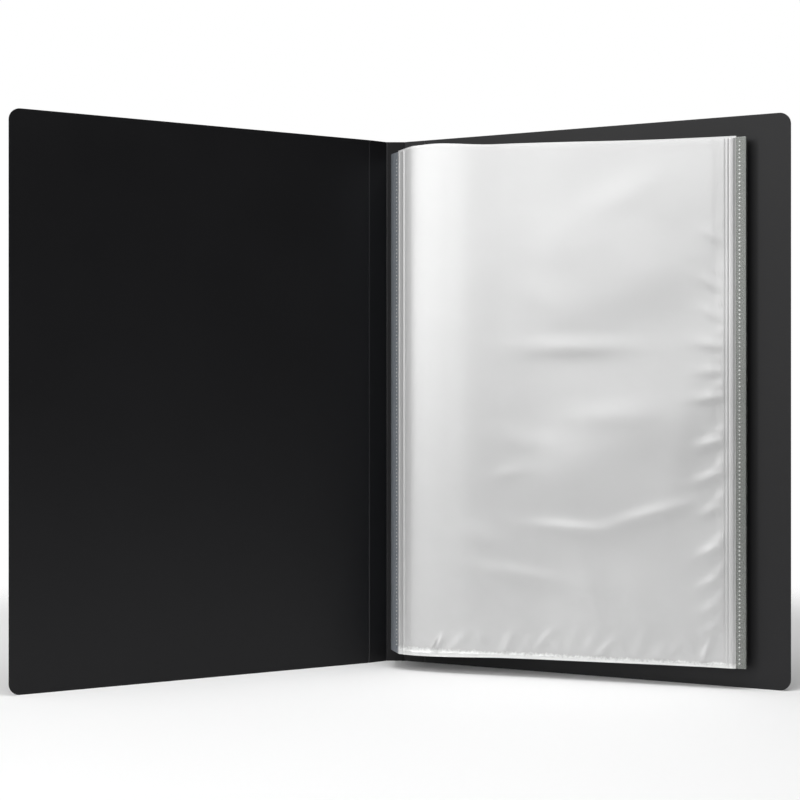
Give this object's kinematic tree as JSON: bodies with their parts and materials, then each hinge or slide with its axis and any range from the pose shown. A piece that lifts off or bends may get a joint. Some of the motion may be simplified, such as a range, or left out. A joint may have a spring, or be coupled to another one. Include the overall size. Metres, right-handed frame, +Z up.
{
  "type": "display book",
  "caption": "A4 display album: black folding polypropylene cover with clear top-loading pocket leaves bound in its spine, standing open.",
  "frame": {"origin": "centre of the standing footprint: middle of the bounding box, at the height of the covers' bottom edges", "axes": "+X to the right along the open covers, +Y away from the reader towards the spine, +Z up along the folds"},
  "size_m": [0.4358, 0.1288, 0.325],
  "materials": {
    "cover_sheet": "fine matte grain, black polypropylene sheet",
    "fold_web": "pressed thin and smoother than the sheet",
    "binding": "smooth black polypropylene strip",
    "film": "clear polypropylene film with a soft milky sheen"
  },
  "bodies": {
    "spine": {"spine_panel": "cover_sheet", "binding_strip": "binding", "front_spine_web": "fold_web", "back_spine_web": "fold_web", "leaf_01_margin": "film", "leaf_02_margin": "film", "leaf_03_margin": "film", "leaf_04_margin": "film", "leaf_05_margin": "film", "leaf_06_margin": "film", "leaf_07_margin": "film", "leaf_08_margin": "film", "leaf_09_margin": "film", "leaf_10_margin": "film"},
    "front_hinge_strip": {"front_hinge_panel": "cover_sheet", "front_score_web": "fold_web"},
    "front_cover": {"front_cover_panel": "cover_sheet"},
    "back_hinge_strip": {"back_hinge_panel": "cover_sheet", "back_score_web": "fold_web"},
    "back_cover": {"back_cover_panel": "cover_sheet"},
    "pocket_block": {"leaf_01_crease": "film", "leaf_02_crease": "film", "leaf_03_crease": "film", "leaf_04_crease": "film", "leaf_05_crease": "film", "leaf_06_crease": "film", "leaf_07_crease": "film", "leaf_08_crease": "film", "leaf_09_crease": "film", "leaf_10_crease": "film"},
    "leaf_01": {"leaf_01_front_film": "film", "leaf_01_back_film": "film"},
    "leaf_02": {"leaf_02_front_film": "film", "leaf_02_back_film": "film"},
    "leaf_03": {"leaf_03_front_film": "film", "leaf_03_back_film": "film"},
    "leaf_04": {"leaf_04_front_film": "film", "leaf_04_back_film": "film"},
    "leaf_05": {"leaf_05_front_film": "film", "leaf_05_back_film": "film"},
    "leaf_06": {"leaf_06_front_film": "film", "leaf_06_back_film": "film"},
    "leaf_07": {"leaf_07_front_film": "film", "leaf_07_back_film": "film"},
    "leaf_08": {"leaf_08_front_film": "film", "leaf_08_back_film": "film"},
    "leaf_09": {"leaf_09_front_film": "film", "leaf_09_back_film": "film"},
    "leaf_10": {"leaf_10_front_film": "film", "leaf_10_back_film": "film"}
  },
  "joints": [
    {"name": "front_spine_fold", "type": "hinge", "parent": "spine", "child": "front_hinge_strip", "pos_m": [-0.01006, 0.06401, 0], "axis": [0, 0, 1], "range_deg": [-37.8, 52.2]},
    {"name": "front_score_fold", "type": "hinge", "parent": "front_hinge_strip", "child": "front_cover", "pos_m": [-0.02112, 0.05543, 0], "axis": [0, 0, 1], "range_deg": [-83.5, 6.5]},
    {"name": "back_spine_fold", "type": "hinge", "parent": "spine", "child": "back_hinge_strip", "pos_m": [0.00144, 0.06401, 0], "axis": [0, 0, -1], "range_deg": [-9, 62.4]},
    {"name": "back_score_fold", "type": "hinge", "parent": "back_hinge_strip", "child": "back_cover", "pos_m": [0.01385, 0.05752, 0], "axis": [0, 0, -1], "range_deg": [-90, 0]},
    {"name": "leaves_lean", "type": "hinge", "parent": "spine", "child": "pocket_block", "pos_m": [-0.00431, 0.03001, 0], "axis": [0, 0, -1], "range_deg": [-14, 82]},
    {"name": "leaf_01_turn", "type": "hinge", "parent": "pocket_block", "child": "leaf_01", "pos_m": [0.00793, 0.02278, 0], "axis": [0, 0, 1], "range_deg": [-138, 0]},
    {"name": "leaf_02_turn", "type": "hinge", "parent": "pocket_block", "child": "leaf_02", "pos_m": [0.00906, 0.02295, 0], "axis": [0, 0, 1], "range_deg": [-124.21, 0]},
    {"name": "leaf_03_turn", "type": "hinge", "parent": "pocket_block", "child": "leaf_03", "pos_m": [0.01019, 0.02311, 0], "axis": [0, 0, 1], "range_deg": [-110.41, 0]},
    {"name": "leaf_04_turn", "type": "hinge", "parent": "pocket_block", "child": "leaf_04", "pos_m": [0.01132, 0.02328, 0], "axis": [0, 0, 1], "range_deg": [-96.61, 0]},
    {"name": "leaf_05_turn", "type": "hinge", "parent": "pocket_block", "child": "leaf_05", "pos_m": [0.01245, 0.02344, 0], "axis": [0, 0, 1], "range_deg": [-82.81, 0]},
    {"name": "leaf_06_turn", "type": "hinge", "parent": "pocket_block", "child": "leaf_06", "pos_m": [0.01358, 0.02361, 0], "axis": [0, 0, 1], "range_deg": [-69.01, 0]},
    {"name": "leaf_07_turn", "type": "hinge", "parent": "pocket_block", "child": "leaf_07", "pos_m": [0.01471, 0.02377, 0], "axis": [0, 0, 1], "range_deg": [-55.21, 0]},
    {"name": "leaf_08_turn", "type": "hinge", "parent": "pocket_block", "child": "leaf_08", "pos_m": [0.01584, 0.02394, 0], "axis": [0, 0, 1], "range_deg": [-41.41, 0]},
    {"name": "leaf_09_turn", "type": "hinge", "parent": "pocket_block", "child": "leaf_09", "pos_m": [0.01697, 0.0241, 0], "axis": [0, 0, 1], "range_deg": [-27.61, 0]},
    {"name": "leaf_10_turn", "type": "hinge", "parent": "pocket_block", "child": "leaf_10", "pos_m": [0.0181, 0.02427, 0], "axis": [0, 0, 1], "range_deg": [-13.81, 0]}
  ],
  "couplings": [
    {"joint": "leaves_lean", "follows": "back_spine_fold", "ratio": 1.1138},
    {"joint": "leaf_02_turn", "follows": "leaf_01_turn", "ratio": 0.9},
    {"joint": "leaf_03_turn", "follows": "leaf_01_turn", "ratio": 0.8},
    {"joint": "leaf_04_turn", "follows": "leaf_01_turn", "ratio": 0.7},
    {"joint": "leaf_05_turn", "follows": "leaf_01_turn", "ratio": 0.6},
    {"joint": "leaf_06_turn", "follows": "leaf_01_turn", "ratio": 0.5},
    {"joint": "leaf_07_turn", "follows": "leaf_01_turn", "ratio": 0.4},
    {"joint": "leaf_08_turn", "follows": "leaf_01_turn", "ratio": 0.3},
    {"joint": "leaf_09_turn", "follows": "leaf_01_turn", "ratio": 0.2},
    {"joint": "leaf_10_turn", "follows": "leaf_01_turn", "ratio": 0.1}
  ]
}
